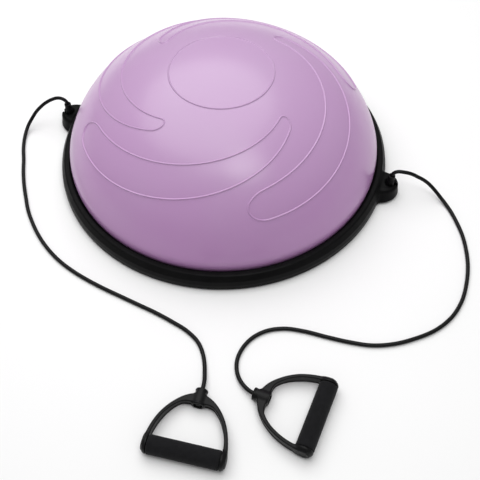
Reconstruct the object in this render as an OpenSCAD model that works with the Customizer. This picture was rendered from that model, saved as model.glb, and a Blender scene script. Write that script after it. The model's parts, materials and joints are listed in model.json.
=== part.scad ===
// Balance dome trainer: an inflated half ball clamped to a round platform,
// with a stretch tube and a D handle hooked to each side.
// The platform stands on the floor plane z = 0, and its centre is the origin.

/* [Platform] */
// Outer diameter of the rim ring at its widest
base_d = 580; // [540:5:640]
// Height of the rim ring above the floor
ring_h = 31; // [28:1:40]
// Thickness of the round deck under the bladder
deck_t = 6; // [5:0.5:8]
// Height of the rubber feet under the deck
foot_h = 3; // [2:0.5:5]
// Number of screws that clamp the rim ring to the deck
screw_n = 12; // [8:1:16]

/* [Dome] */
// Height of the inflated dome above the floor
dome_h = 211; // [180:1:240]
// Thickness of the bladder's skin
skin_t = 3; // [2:0.5:5]

/* [Tubes] */
// Outer diameter of the stretch tubes
tube_d = 6.4; // [5.6:0.2:7]
// Direction of the left lug seen from above, in degrees from +X
lug_az = 161; // [150:1:175]

/* [Handles] */
// Distance from the mouth of the hub to the middle of the grip
reach = 97; // [85:1:110]
// Outer diameter of the foam grip
grip_d = 28; // [26:1:32]
// Length of the foam grip
grip_l = 104; // [95:1:115]
// Height of the bow across the strip
bow_h = 17.5; // [12:0.5:18]

/* [Hidden] */
$fn = 96;
eps = 0.01;

LEFT = 0;
RIGHT = 1;
// Screws and feet around the platform
screw_step = 360 / screw_n;
foot_n = 8;

// Deck
base_r = base_d / 2;
deck_r = base_r - 6;
deck_z = foot_h;
deck_top = deck_z + deck_t;
seat_depth = 1;
foot_r = 16;
foot_pitch_r = 240;
centre_foot_r = 35;
groove_n = 6;
groove_r = 60;
groove_step = 28;
groove_w = 3;
groove_deep = 0.8;

// Rim ring, the flange that it clamps and its screws
fit_gap = 0.3;
flange_r = base_r - 14;
flange_t = 4;
ring_under = deck_top + flange_t + fit_gap;
ring_in = base_r - 18.4;
boss_r = 3.8;
boss_pitch_r = base_r - 10;
screw_r = 1.75;
pilot_r = 1.8;
screw_head_r = 3.6;
screw_head_t = 2;
screw_l = 14;

// Bladder: an ellipse above the shoulder, a nearly upright wall below it
dome_a = base_r - 14.4;
dome_zc = 8.6;
dome_b = dome_h - dome_zc;
shoulder_z = 45;
dome_steps = 28;

// Air valve in the deck
valve_y = 120;
valve_bore_r = 4.05;
valve_neck_r = 7;
valve_flange_r = 14;
valve_flange_t = 2.5;
valve_recess_r = 15;
valve_recess_t = 3;
plug_stem_r = 4;
plug_head_r = 10;
plug_head_t = 1.8;
plug_head_top = deck_z + valve_recess_t - 0.1;

// Lugs: a wide flared foot and an upright lobe, pocketed underneath for the stopper
ear_r = base_r - 7;
ear_foot_r = 34;
ear_top_r = 22;
lobe_r = base_r + 3;
lobe_foot_r = 24;
ear_z = deck_z + 0.5;
ear_top = ring_h - 3;
tube_r = tube_d / 2;
hook_r = base_r + 11.5;
hook_bore_r = tube_r + 0.4;
hook_slot_w = 7.2;
pocket_r = 8.3;
pocket_top = 17;
sleeve_r = 6.4;
sleeve_top_r = 5.7;
sleeve_seat_z = ear_top - 5;
dish_r = 10;
sleeve_top = 46;
stopper_r = 7.5;
stopper_z = 5;
stem_top = 22;

// Handles: local +X runs from the hub's mouth to the grip, +Z is across the bow
hub_r = 9.5;
barrel_r = 9;
hub_l = 25;
hub_rim = 3;
hub_bore_l = 14;
end_plug_r = 6.2;
end_pocket_r = 6.6;
end_plug_l = 9;
end_plug_gap = 0.4;
eye_t = 7;
eye_taper = 3.5;
eye_in = grip_l / 2 + 0.5;
eye_out = eye_in + eye_t;
core_r = 9;
core_bore_r = 6.5;
cap_r = 10;
cap_t = 0.9;
cap_spigot_r = 6.4;
cap_spigot_l = 10;
bow_w = eye_out;
bow_arm_t = 6.5;
bow_centre = reach - 2;
bow_apex = 7.6;
bow_in_apex = 18;
bow_bulge = 1.85;
web_x = 23.5;
web_h = 12.5;
web_end_x = 26;
arm_full_x = 52;
arc_steps = 18;
grip_r = grip_d / 2;
tilt = asin((grip_r - hub_r) / reach);

// Mouth of each handle's hub and the way it points, seen from above
hub_pos = [[-42.5, -465, hub_r], [32, -472.5, hub_r]];
hub_heading = [-105.5, -25];

// Centre lines of the two tubes, from the lug's stopper to the handle's plug:
// up out of the lug, over and down to the floor, then along it in loose curves
tube_lie = 3.3;
hook_line = [for (z = [stem_top, 34, sleeve_top]) [hook_r, 0, z]];
floor_routes = [
    [[-286.1, 98.4, 50.2], [-289.4, 99.3, 54.4], [-294.6, 100.7, 56.8],
     [-303, 103, 56], [-314.5, 102.8, 52.3], [-326, 101.6, 46],
     [-337, 99.4, 37.6], [-347.3, 95.8, 28], [-355.5, 89, 19],
     [-362.5, 79.5, 11.5], [-366.5, 68, 6], [-368, 54, 3.8],
     [-367, 30, tube_lie], [-363, 2, tube_lie], [-360, -26, tube_lie],
     [-355, -56, tube_lie], [-348, -86, tube_lie], [-340, -116, tube_lie],
     [-328, -146, tube_lie], [-313, -175, tube_lie], [-296, -200, tube_lie],
     [-275, -224, tube_lie], [-251, -245, tube_lie], [-226, -263, tube_lie],
     [-199, -280, tube_lie], [-171, -296, tube_lie], [-143, -312, tube_lie],
     [-115, -328, tube_lie], [-89, -345, tube_lie], [-65, -363, tube_lie],
     [-49, -382, tube_lie], [-41.5, -402, tube_lie], [-39, -420, tube_lie],
     [-38.8, -434, 5], [-39.2, -448, 7.8], [-40.5, -457, 9]],
    [[286.2, -98.3, 50.2], [289.5, -98.7, 54.4], [294.8, -99.5, 56.6],
     [303.5, -100.6, 56], [311, -101.4, 54.6], [319.5, -102.2, 51.2],
     [329, -102.7, 45], [339.5, -103.5, 38], [349, -105, 30],
     [357.5, -108.3, 22], [365, -113.5, 15], [372, -120.5, 9], [379, -131, 5],
     [385, -146, 3.6], [391, -171, tube_lie], [395, -199, tube_lie],
     [395, -229, tube_lie], [391, -261, tube_lie], [382, -293, tube_lie],
     [368, -325, tube_lie], [346, -354, tube_lie], [316, -376, tube_lie],
     [283, -389, tube_lie], [249, -397, tube_lie], [215, -398, tube_lie],
     [181, -391, tube_lie], [148, -381, tube_lie], [115, -370, tube_lie],
     [84, -364, tube_lie], [57, -367, tube_lie], [35, -378, tube_lie],
     [19, -395, tube_lie], [10, -415, tube_lie], [9, -434, 4.2],
     [12.6, -448.4, 6.2], [18.6, -459.6, 8], [25, -467.2, 9.1]]
];
// The tube bends at the second of the floor route's points before the hub
bend_from_end = 2;
tube_sides = 10;

// ---------- helpers ----------

function lug_turn(side) = lug_az + 180 * side;

function unit(v) = v / norm(v);

// A point given along the lug's radius, turned to that lug's side
function at_lug(p, side) =
    [p[0] * cos(lug_turn(side)), p[0] * sin(lug_turn(side)), p[2]];

// A point on the hub's own axis, s beyond its mouth
function on_hub_axis(s, side) =
    hub_pos[side] + s * [cos(hub_heading[side]) * cos(tilt),
                         sin(hub_heading[side]) * cos(tilt), sin(tilt)];

// The whole centre line of one tube
function route(side) = concat(
    [for (p = hook_line) at_lug(p, side)],
    floor_routes[side],
    [for (s = [0, hub_bore_l + end_plug_gap]) on_hub_axis(s, side)]);

function bend_at(side) = len(route(side)) - 2 - bend_from_end;

// Directions along a polyline, from each point's neighbours
function ways(p) = [for (i = [0 : len(p) - 1])
    unit(p[min(i + 1, len(p) - 1)] - p[max(i - 1, 0)])];

// What is left of v once its share along t is taken off
function square_to(v, t) = unit(v - (v * t) * t);

// A side direction for each point, carried along the line without twist
function sides_of(t, first) = [for (i = 0, u = square_to(first, t[0]);
    i < len(t);
    i = i + 1, u = i < len(t) ? square_to(u, t[i]) : u) u];

// A round tube along some of the points of a line
module swept(line, from, to, r) {
    t = ways(line);
    u = sides_of(t, [1, 1, 0]);
    n = tube_sides;
    points = [for (i = [from : to], k = [0 : n - 1])
        line[i] + r * (cos(360 * k / n) * u[i] + sin(360 * k / n) * cross(t[i], u[i]))];
    rings = to - from + 1;
    walls = [for (i = [0 : rings - 2], k = [0 : n - 1])
        [i * n + k, (i + 1) * n + k, (i + 1) * n + (k + 1) % n, i * n + (k + 1) % n]];
    first_cap = [for (k = [0 : n - 1]) k];
    last_cap = [for (k = [n - 1 : -1 : 0]) (rings - 1) * n + k];
    polyhedron(points, concat([first_cap, last_cap], walls), convexity = 8);
}

module around(count, r, first = 0) {
    for (i = [0 : count - 1])
        rotate(first + 360 / count * i) translate([r, 0, 0]) children();
}

module at_side_lug(side) {
    rotate(lug_turn(side)) children();
}

// Puts a handle piece where its hub's mouth lies on the floor
module on_handle(side) {
    translate(hub_pos[side]) rotate([0, 0, hub_heading[side]])
        rotate([0, -tilt, 0]) children();
}

module along_x(x, r, l) {
    translate([x, 0, 0]) rotate([0, 90, 0]) cylinder(r = r, h = l);
}

module along_grip(y, r, l) {
    translate([reach, y + l, 0]) rotate([90, 0, 0]) cylinder(r = r, h = l);
}

// ---------- platform ----------

// Moulded round platform, ribbed underneath so that it can be stood on upside down
module deck() {
    color([0.09, 0.09, 0.10]) difference() {
        translate([0, 0, deck_z]) cylinder(r = deck_r, h = deck_t);
        for (i = [0 : groove_n - 1])
            ring_cut(groove_r + groove_step * i);
        translate([0, 0, deck_z - eps]) {
            cylinder(r = centre_foot_r, h = seat_depth + eps);
            around(foot_n, foot_pitch_r, 22.5) cylinder(r = foot_r, h = seat_depth + eps);
            around(screw_n, boss_pitch_r, screw_step / 2) {
                cylinder(r = screw_head_r + fit_gap, h = screw_head_t + eps);
                cylinder(r = pilot_r, h = deck_t + 1);
            }
            translate([0, valve_y, 0]) {
                cylinder(r = valve_recess_r, h = valve_recess_t + eps);
                cylinder(r = valve_neck_r + 0.2, h = deck_t + 1);
            }
        }
    }
}

module ring_cut(r) {
    translate([0, 0, deck_z - eps]) difference() {
        cylinder(r = r + groove_w, h = groove_deep + eps);
        translate([0, 0, -eps]) cylinder(r = r, h = groove_deep + 3 * eps);
    }
}

// Clamp ring around the deck with the two lugs moulded on
module rim_ring() {
    color([0.07, 0.07, 0.08]) difference() {
        union() {
            rim_section();
            around(screw_n, boss_pitch_r, screw_step / 2)
                translate([0, 0, deck_top]) cylinder(r = boss_r, h = ring_under - deck_top + 1);
            for (side = [LEFT, RIGHT]) at_side_lug(side) ear();
        }
        around(screw_n, boss_pitch_r, screw_step / 2)
            translate([0, 0, deck_top - eps]) cylinder(r = pilot_r, h = screw_l - 3);
        for (side = [LEFT, RIGHT]) at_side_lug(side) hook_cut();
    }
}

module rim_section() {
    rotate_extrude($fn = 180) polygon([
        [deck_r + fit_gap, deck_z], [base_r, deck_z], [base_r, 13], [base_r - 1.6, 21],
        [base_r - 6.8, ring_h - 1], [base_r - 9, ring_h], [base_r - 15, ring_h],
        [ring_in, ring_h - 2.4], [ring_in, 25], [base_r - 19.6, 18],
        [base_r - 19.6, ring_under], [deck_r + fit_gap, ring_under]]);
}

// Tapered lug body; its inner faces end inside the ring's own section
module ear() {
    difference() {
        union() {
            translate([ear_r, 0, ear_z])
                cylinder(r1 = ear_foot_r, r2 = ear_top_r, h = ear_top - ear_z);
            translate([lobe_r, 0, ear_z])
                cylinder(r1 = lobe_foot_r, r2 = ear_top_r, h = ear_top - ear_z);
        }
        cylinder(r = base_r - 3, h = ring_under + 1, $fn = 180);
        cylinder(r = base_r - 11, h = ear_top + 1, $fn = 180);
    }
}

// Keyhole for the tube, open outwards, with a dished seat above and a pocket below
module hook_cut() {
    translate([hook_r, 0, 0]) {
        cylinder(r = hook_bore_r, h = ear_top + 1);
        translate([0, 0, deck_z - eps]) cylinder(r = pocket_r, h = pocket_top - deck_z);
        translate([0, 0, sleeve_seat_z]) cylinder(r = sleeve_r + 0.2, h = ear_top);
        translate([0, 0, sleeve_seat_z + 1])
            cylinder(r1 = sleeve_r + 0.2, r2 = dish_r, h = ear_top - sleeve_seat_z - 1 + eps);
        translate([0, -hook_slot_w / 2, pocket_top - 3]) cube([ear_foot_r, hook_slot_w, ear_top]);
    }
}

// Screws from under the deck into the ring's bosses
module clamp_screws() {
    color([0.45, 0.46, 0.48]) around(screw_n, boss_pitch_r, screw_step / 2)
        translate([0, 0, deck_z]) {
            difference() {
                cylinder(r = screw_head_r, h = screw_head_t);
                translate([0, 0, -eps]) cross_slot();
            }
            cylinder(r = screw_r, h = screw_l);
        }
}

module cross_slot() {
    for (a = [0, 90]) rotate(a) translate([-2, -0.5, 0]) cube([4, 1, 1.2]);
}

module foot(r) {
    color([0.16, 0.16, 0.17]) rotate_extrude() polygon([
        [0, 0], [r - 1.5, 0], [r - 0.5, 1], [r - 0.5, deck_z], [r - 0.1, deck_z],
        [r - 0.1, deck_z + seat_depth], [0, deck_z + seat_depth]]);
}

module outer_foot(i) {
    rotate(22.5 + 360 / foot_n * (i - 1)) translate([foot_pitch_r, 0, 0]) foot(foot_r);
}

// ---------- bladder and valve ----------

// Outline of the dome from its shoulder up to the axis, drawn in by inset
function dome_arc(inset) = [for (i = [0 : dome_steps])
    let (low = asin((shoulder_z - dome_zc) / dome_b),
         a = low + (90 - low) * i / dome_steps)
    [(dome_a - inset) * cos(a) * (i < dome_steps ? 1 : 0), dome_zc + (dome_b - inset) * sin(a)]];

// Closed air bladder with the flange that the rim ring clamps
module dome_bladder() {
    color([0.72, 0.58, 0.75]) difference() {
        rotate_extrude($fn = 180) polygon(concat(
            [[0, deck_top], [flange_r, deck_top], [flange_r, deck_top + flange_t],
             [base_r - 21.6, deck_top + flange_t], [base_r - 20.4, 24], [base_r - 19.2, 34]],
            dome_arc(0)));
        rotate_extrude($fn = 180) polygon(concat(
            [[0, deck_top + skin_t], [flange_r - 14, deck_top + skin_t],
             [base_r - 25, 24], [base_r - 22.4, 34]],
            dome_arc(skin_t)));
        translate([0, valve_y, deck_top - eps]) cylinder(r = valve_neck_r, h = skin_t + 1);
    }
}

module valve_seat() {
    low = deck_z + valve_recess_t + 0.2;
    skin_top = deck_top + skin_t;
    color([0.80, 0.80, 0.82]) translate([0, valve_y, 0]) rotate_extrude() polygon([
        [valve_bore_r, low], [valve_neck_r, low], [valve_neck_r, skin_top],
        [valve_flange_r, skin_top], [valve_flange_r, skin_top + valve_flange_t],
        [valve_bore_r, skin_top + valve_flange_t]]);
}

module valve_plug() {
    color([0.86, 0.86, 0.88]) translate([0, valve_y, 0]) difference() {
        union() {
            translate([0, 0, plug_head_top - plug_head_t]) cylinder(r = plug_head_r, h = plug_head_t);
            translate([0, 0, plug_head_top - eps]) cylinder(r = plug_stem_r, h = 7);
        }
        // Two thumb cuts in the head, so that it can be pulled
        for (x = [-1, 1]) translate([x * plug_head_r, 0, plug_head_top - plug_head_t - eps])
            cylinder(r = 3, h = plug_head_t - 0.6);
    }
}

// ---------- tubes ----------

// Bulb on a stem in the tube's end, drawn up into the lug's pocket
module stopper(side) {
    color([0.10, 0.10, 0.11]) at_side_lug(side) translate([hook_r, 0, 0])
        rotate_extrude() polygon([
            [0, stopper_z], [5.5, stopper_z], [stopper_r, stopper_z + 2],
            [stopper_r, pocket_top - 4], [4.5, pocket_top - fit_gap],
            [tube_r, pocket_top - fit_gap], [tube_r, stem_top], [0, stem_top]]);
}

// Tapered rubber sleeve that keeps the tube from kinking above the lug
module sleeve(side) {
    color([0.12, 0.12, 0.13]) at_side_lug(side) translate([hook_r, 0, 0])
        rotate_extrude() polygon([
            [tube_r + 0.3, sleeve_seat_z + 0.1], [sleeve_r, sleeve_seat_z + 0.1],
            [sleeve_r, ear_top + 2], [sleeve_top_r + 0.5, ear_top + 4],
            [sleeve_top_r, sleeve_top - 1], [sleeve_top_r - 0.6, sleeve_top],
            [tube_r + 0.3, sleeve_top]]);
}

module band_tube(side) {
    color([0.06, 0.06, 0.07]) swept(route(side), 0, bend_at(side), tube_r);
}

module tube_end(side) {
    color([0.06, 0.06, 0.07])
        swept(route(side), bend_at(side), len(route(side)) - 1, tube_r);
}

// ---------- handles ----------

// Stop in the tube's far end: it seats against the shoulder inside the hub
module end_plug(side) {
    color([0.10, 0.10, 0.11]) on_handle(side)
        translate([hub_bore_l + end_plug_gap, 0, 0]) rotate([0, 90, 0])
            rotate_extrude() polygon([
                [0, 0], [end_plug_r - 1.2, 0], [end_plug_r, 1.2], [end_plug_r, end_plug_l - 3],
                [end_plug_r - 1, end_plug_l - 0.8], [end_plug_r - 3, end_plug_l + 0.8],
                [0, end_plug_l + 1.6]]);
}

// Quarter of the bow, from x_from to its half width w, then straight on to x_to;
// a bulge of 2 is an ellipse, and less is more pointed at the apex
function bow_arc(apex, w, bulge, x_from, x_to) =
    let (a = bow_centre - apex,
         t0 = acos(pow((bow_centre - x_from) / a, bulge / 2)))
    concat([for (i = [0 : arc_steps]) let (t = t0 + (90 - t0) * i / arc_steps)
        [bow_centre - a * pow(cos(t), 2 / bulge), w * pow(sin(t), 2 / bulge)]],
        [[x_to, w]]);

function mirrored(p) = [for (i = [len(p) - 1 : -1 : 0]) [p[i][0], -p[i][1]]];

module bow_outline() {
    outer = bow_arc(bow_apex, bow_w, bow_bulge, bow_apex, reach);
    inner = bow_arc(bow_in_apex, bow_w - bow_arm_t, 2, web_x, reach + 1);
    difference() {
        polygon(concat(mirrored(outer), outer));
        polygon(concat(mirrored(inner), inner));
    }
}

// The strip is low at the web, so that the barrel stands proud, and full height at the arms
module strip_side() {
    half = [for (h = [web_h, bow_h]) h / 2];
    translate([0, bow_w + 1, 0]) rotate([90, 0, 0]) linear_extrude(2 * bow_w + 2) polygon([
        [0, -half[0]], [web_end_x, -half[0]], [arm_full_x, -half[1]], [reach + 1, -half[1]],
        [reach + 1, half[1]], [arm_full_x, half[1]], [web_end_x, half[0]], [0, half[0]]]);
}

// D-shaped bow: hub barrel, web, two arms and an eye at each end of the grip
module bow(side) {
    color([0.17, 0.17, 0.18]) on_handle(side) difference() {
        union() {
            intersection() {
                translate([0, 0, -bow_h]) linear_extrude(2 * bow_h) bow_outline();
                strip_side();
            }
            along_x(0, barrel_r, hub_l);
            along_x(0, hub_r, hub_rim);
            along_x(hub_l - hub_rim, hub_r, hub_rim);
            for (way = [-1, 1]) eye(way);
        }
        along_x(-1, tube_r + 0.4, hub_l);
        along_x(hub_bore_l, end_pocket_r, hub_l);
        along_grip(-eye_in, grip_r + fit_gap, 2 * eye_in);
        along_grip(-eye_out - 1, core_r + 0.05, 2 * eye_out + 2);
    }
}

// Ring at one end of the grip, tapered outwards; way is -1 or 1
module eye(way) {
    translate([reach, way * eye_in, 0]) rotate([-90 * way, 0, 0]) {
        cylinder(r = grip_r, h = eye_t - eye_taper);
        translate([0, 0, eye_t - eye_taper])
            cylinder(r1 = grip_r, r2 = grip_r - eye_taper, h = eye_taper);
    }
}

module grip_core(side) {
    color([0.20, 0.20, 0.21]) on_handle(side) difference() {
        along_grip(-eye_out, core_r, 2 * eye_out);
        along_grip(-eye_out - 1, core_bore_r, 2 * eye_out + 2);
    }
}

// End cap pressed into the core; which is -1 or 1 for the grip's two ends
module grip_cap(side, which) {
    color([0.15, 0.15, 0.16]) on_handle(side) translate([reach, which * eye_out, 0])
        rotate([-90 * which, 0, 0]) {
            rotate_extrude() polygon([
                [0, 0], [cap_r, 0], [cap_r - 0.8, cap_t], [0, cap_t]]);
            translate([0, 0, -cap_spigot_l]) cylinder(r = cap_spigot_r, h = cap_spigot_l + eps);
        }
}

module foam_grip(side) {
    color([0.13, 0.13, 0.14]) on_handle(side) difference() {
        along_grip(-grip_l / 2, grip_r, grip_l);
        along_grip(-grip_l / 2 - 1, core_r + 0.1, grip_l + 2);
    }
}

// ---------- the assembly ----------

deck();
rim_ring();
dome_bladder();
clamp_screws();
valve_seat();
valve_plug();
foot(centre_foot_r);  // centre_foot
for (i = [1 : foot_n])
    outer_foot(i);
stopper(LEFT);  // left_stopper
sleeve(LEFT);  // left_sleeve
band_tube(LEFT);  // left_tube
tube_end(LEFT);  // left_tube_end
end_plug(LEFT);  // left_end_plug
bow(LEFT);  // left_bow
grip_core(LEFT);  // left_grip_core
grip_cap(LEFT, -1);  // left_grip_cap_a
grip_cap(LEFT, 1);  // left_grip_cap_b
foam_grip(LEFT);  // left_foam_grip
stopper(RIGHT);  // right_stopper
sleeve(RIGHT);  // right_sleeve
band_tube(RIGHT);  // right_tube
tube_end(RIGHT);  // right_tube_end
end_plug(RIGHT);  // right_end_plug
bow(RIGHT);  // right_bow
grip_core(RIGHT);  // right_grip_core
grip_cap(RIGHT, -1);  // right_grip_cap_a
grip_cap(RIGHT, 1);  // right_grip_cap_b
foam_grip(RIGHT);  // right_foam_grip
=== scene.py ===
"""Balance dome trainer: the looks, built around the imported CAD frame.

Everything is in metres in the CAD's own frame: +Z is up, the floor is z = 0 and the middle of
the round platform is the origin.
"""

import json
import math

import bpy
import numpy as np
from mathutils import Matrix, Vector
from mathutils.geometry import delaunay_2d_cdt


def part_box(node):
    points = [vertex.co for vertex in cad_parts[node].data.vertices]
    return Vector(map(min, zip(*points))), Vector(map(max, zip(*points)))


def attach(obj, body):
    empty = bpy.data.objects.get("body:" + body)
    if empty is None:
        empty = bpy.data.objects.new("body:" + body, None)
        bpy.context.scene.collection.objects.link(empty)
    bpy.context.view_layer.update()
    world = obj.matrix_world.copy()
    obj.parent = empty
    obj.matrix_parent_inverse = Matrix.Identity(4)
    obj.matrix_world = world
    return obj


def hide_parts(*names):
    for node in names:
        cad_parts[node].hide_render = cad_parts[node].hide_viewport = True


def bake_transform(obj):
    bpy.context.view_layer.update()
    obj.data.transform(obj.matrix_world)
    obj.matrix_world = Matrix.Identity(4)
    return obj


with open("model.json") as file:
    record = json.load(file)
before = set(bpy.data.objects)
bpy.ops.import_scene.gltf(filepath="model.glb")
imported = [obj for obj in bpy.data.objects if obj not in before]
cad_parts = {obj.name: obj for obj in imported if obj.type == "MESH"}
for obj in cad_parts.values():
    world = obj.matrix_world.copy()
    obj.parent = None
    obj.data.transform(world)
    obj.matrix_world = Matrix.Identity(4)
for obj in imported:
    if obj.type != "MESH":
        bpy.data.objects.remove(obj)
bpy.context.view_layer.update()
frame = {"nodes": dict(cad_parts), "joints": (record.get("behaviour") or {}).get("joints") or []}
SIDES = ("left", "right")


# ---------- places taken from the frame ----------

def middle(node):
    low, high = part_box(node)
    return (low + high) / 2


def joint(name):
    return next(j for j in frame["joints"] if j["name"] == name)


def turned_about_z(point, angle):
    return Matrix.Rotation(angle, 3, "Z") @ Vector(point)


deck_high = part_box("deck")[1]
ring_low, ring_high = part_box("rim_ring")
DECK_TOP = deck_high.z
RING_R = ring_high.y
RING_TOP = ring_high.z
DOME_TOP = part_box("dome_bladder")[1].z
HOOK_R = math.hypot(*middle("left_sleeve").xy)
LUG_TURN = {s: math.atan2(middle(s + "_sleeve").y, middle(s + "_sleeve").x) for s in SIDES}


def lug_matrix(side):
    """The frame of the hook's own axis: x points outwards from the platform."""
    return Matrix.Rotation(LUG_TURN[side], 4, "Z") @ Matrix.Translation((HOOK_R, 0, 0))


def handle_matrix(side):
    """The handle's own frame: x from the hub's mouth to the grip, y along the grip."""
    swivel, spin = joint(side + "_handle_swivel"), joint(side + "_grip_spin")
    x, y = Vector(swivel["axis"]).normalized(), Vector(spin["axis"]).normalized()
    z = x.cross(y)
    turn = Matrix((x, y, z)).transposed().to_4x4()
    return Matrix.Translation(swivel["pos_m"]) @ turn


# ---------- camera ----------

CAMERA_AT = Vector((0, -0.93965, 1.03781))
LOOK_AT = Vector((0.02793, 0, -0.26423))
CAMERA_ROLL = math.radians(-0.432)
LENS_MM = 57.26
SENSOR_MM = 36


def make_camera():
    data = bpy.data.cameras.new("camera")
    data.lens = LENS_MM
    data.sensor_width = SENSOR_MM
    camera = bpy.data.objects.new("camera", data)
    bpy.context.scene.collection.objects.link(camera)
    aim = (LOOK_AT - CAMERA_AT).to_track_quat("-Z", "Y").to_matrix().to_4x4()
    camera.matrix_world = Matrix.Translation(CAMERA_AT) @ aim @ Matrix.Rotation(CAMERA_ROLL, 4, "Z")
    bpy.context.scene.camera = camera


# ---------- materials ----------

# The stretch that nearly all of a noise texture's values lie in
NOISE_LOW = 0.3
NOISE_HIGH = 0.7


class Surface:
    """A Principled material and the few nodes that its finish is made with."""

    def __init__(self, name, **sockets):
        self.material = bpy.data.materials.new(name)
        self.material.use_nodes = True
        self.tree = self.material.node_tree
        self.shader = self.tree.nodes["Principled BSDF"]
        self.place = self.node("ShaderNodeTexCoord").outputs["Object"]
        for socket, value in sockets.items():
            self.shader.inputs[socket.replace("_", " ")].default_value = value

    def node(self, kind, **settings):
        made = self.tree.nodes.new(kind)
        for key, value in settings.items():
            setattr(made, key, value)
        return made

    def link(self, output, target):
        self.tree.links.new(output, target)

    def noise(self, size, detail=3.0, roughness=0.5):
        """Noise whose patches are about size metres across."""
        made = self.node("ShaderNodeTexNoise")
        made.inputs["Scale"].default_value = 1 / size
        made.inputs["Detail"].default_value = detail
        made.inputs["Roughness"].default_value = roughness
        self.link(self.place, made.inputs["Vector"])
        return made.outputs["Fac"]

    def cells(self, size):
        """Distance from the middle of the nearest cell, with cells about size metres across."""
        made = self.node("ShaderNodeTexVoronoi")
        made.inputs["Scale"].default_value = 1 / size
        self.link(self.place, made.inputs["Vector"])
        return made.outputs["Distance"]

    def named(self, attribute):
        """A value that is stored on the mesh."""
        return self.node("ShaderNodeAttribute", attribute_name=attribute).outputs["Fac"]

    def height(self):
        """Height above the floor, in metres."""
        parts = self.node("ShaderNodeSeparateXYZ")
        self.link(self.place, parts.inputs["Vector"])
        return parts.outputs["Z"]

    def sum(self, a, b):
        made = self.node("ShaderNodeMath", operation="ADD")
        self.link(a, made.inputs[0])
        self.link(b, made.inputs[1])
        return made.outputs["Value"]

    def stretched(self, value, old_low, old_high, low, high):
        """Value whose spread from old_low to old_high is made to run from low to high."""
        made = self.node("ShaderNodeMapRange")
        spread = zip(("From Min", "From Max", "To Min", "To Max"), (old_low, old_high, low, high))
        for socket, number in spread:
            made.inputs[socket].default_value = number
        self.link(value, made.inputs["Value"])
        return made.outputs["Result"]

    def between(self, value, low, high):
        """Noise stretched so that its usual spread runs from low to high."""
        return self.stretched(value, NOISE_LOW, NOISE_HIGH, low, high)

    def colour(self, value, dark, light):
        made = self.node("ShaderNodeValToRGB")
        stops = zip(made.color_ramp.elements, (NOISE_LOW, NOISE_HIGH), (dark, light))
        for stop, position, tone in stops:
            stop.position = position
            stop.color = (*tone, 1)
        self.link(value, made.inputs["Fac"])
        self.link(made.outputs["Color"], self.shader.inputs["Base Color"])

    def rough(self, value, low, high):
        self.link(self.between(value, low, high), self.shader.inputs["Roughness"])

    def bumps(self, *layers):
        """Bump layers as (height, depth in metres), one on top of the other."""
        below = None
        for height, depth in layers:
            made = self.node("ShaderNodeBump")
            made.inputs["Strength"].default_value = 1
            made.inputs["Distance"].default_value = depth
            self.link(height, made.inputs["Height"])
            if below is not None:
                self.link(below, made.inputs["Normal"])
            below = made.outputs["Normal"]
        self.link(below, self.shader.inputs["Normal"])


# The name of the mesh attribute that is 1 in the dome's swirl bands
BAND_GLOSS = "band_gloss"
# Height where the dome's painted sheen starts: from here up to the top the colour turns paler
PAINTED_SHEEN_FOOT_Z = 0.03


def dome_pvc():
    """Soft inflated PVC: lilac, with a painted sheen that makes it paler towards the top, a satin skin
    with a faint orange peel, and glossier in the swirl bands."""
    s = Surface("dome_pvc_look", Specular_IOR_Level=0.09)
    # Painted sheen: the colour is made paler with height up to the dome's top, with a random drift of tone
    # on top of it
    painted_sheen = s.stretched(s.height(), PAINTED_SHEEN_FOOT_Z, DOME_TOP, NOISE_LOW, 0.66)
    drift = s.between(s.noise(0.11, 3), -0.04, 0.04)
    s.colour(s.sum(painted_sheen, drift), (0.474, 0.238, 0.496), (0.484, 0.324, 0.510))
    s.rough(s.noise(0.03, 4), 0.42, 0.48)
    s.link(s.stretched(s.named(BAND_GLOSS), 0, 1, 0.02, 0.9), s.shader.inputs["Coat Weight"])
    s.link(s.stretched(s.named(BAND_GLOSS), 0, 1, 0.3, 0.25), s.shader.inputs["Coat Roughness"])
    s.bumps((s.noise(0.0016, 2), 0.000012), (s.noise(0.012, 2), 0.00004))
    return s.material


def moulded_black(name, dark, light, low, high, specular, grain):
    """Black moulded plastic with a fine spark-eroded grain."""
    s = Surface(name, Specular_IOR_Level=specular)
    s.colour(s.noise(0.02, 4), dark, light)
    s.rough(s.noise(0.008, 4), low, high)
    s.bumps((s.noise(0.0007, 2), grain), (s.noise(0.009, 2), grain))
    return s.material


def rubber(name, dark, light, low, high):
    s = Surface(name, Specular_IOR_Level=0.16)
    s.colour(s.noise(0.012, 4), dark, light)
    s.rough(s.noise(0.004, 4), low, high)
    s.bumps((s.noise(0.0009, 3), 0.00002))
    return s.material


def grip_foam():
    """Closed-cell foam: matt, pitted with fine pores."""
    s = Surface("grip_foam_look", Specular_IOR_Level=0.12, Sheen_Weight=0.05, Sheen_Roughness=0.5)
    s.colour(s.noise(0.006, 5, 0.7), (0.0062, 0.0062, 0.0070), (0.0105, 0.0105, 0.0118))
    s.rough(s.noise(0.003, 3), 0.82, 0.95)
    s.bumps((s.cells(0.0011), 0.00022), (s.noise(0.0006, 3), 0.00008))
    return s.material


def steel():
    s = Surface("screw_steel_look", Metallic=1.0)
    s.colour(s.noise(0.003, 4), (0.42, 0.43, 0.45), (0.56, 0.57, 0.58))
    s.rough(s.noise(0.001, 3), 0.28, 0.42)
    s.bumps((s.noise(0.0004, 2), 0.000008))
    return s.material


def pale_plastic(name, tone):
    s = Surface(name, Specular_IOR_Level=0.45, Subsurface_Weight=0.08)
    s.colour(s.noise(0.006, 3), tuple(t * 0.94 for t in tone), tone)
    s.rough(s.noise(0.003, 3), 0.34, 0.44)
    s.bumps((s.noise(0.0008, 2), 0.00001))
    return s.material


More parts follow.
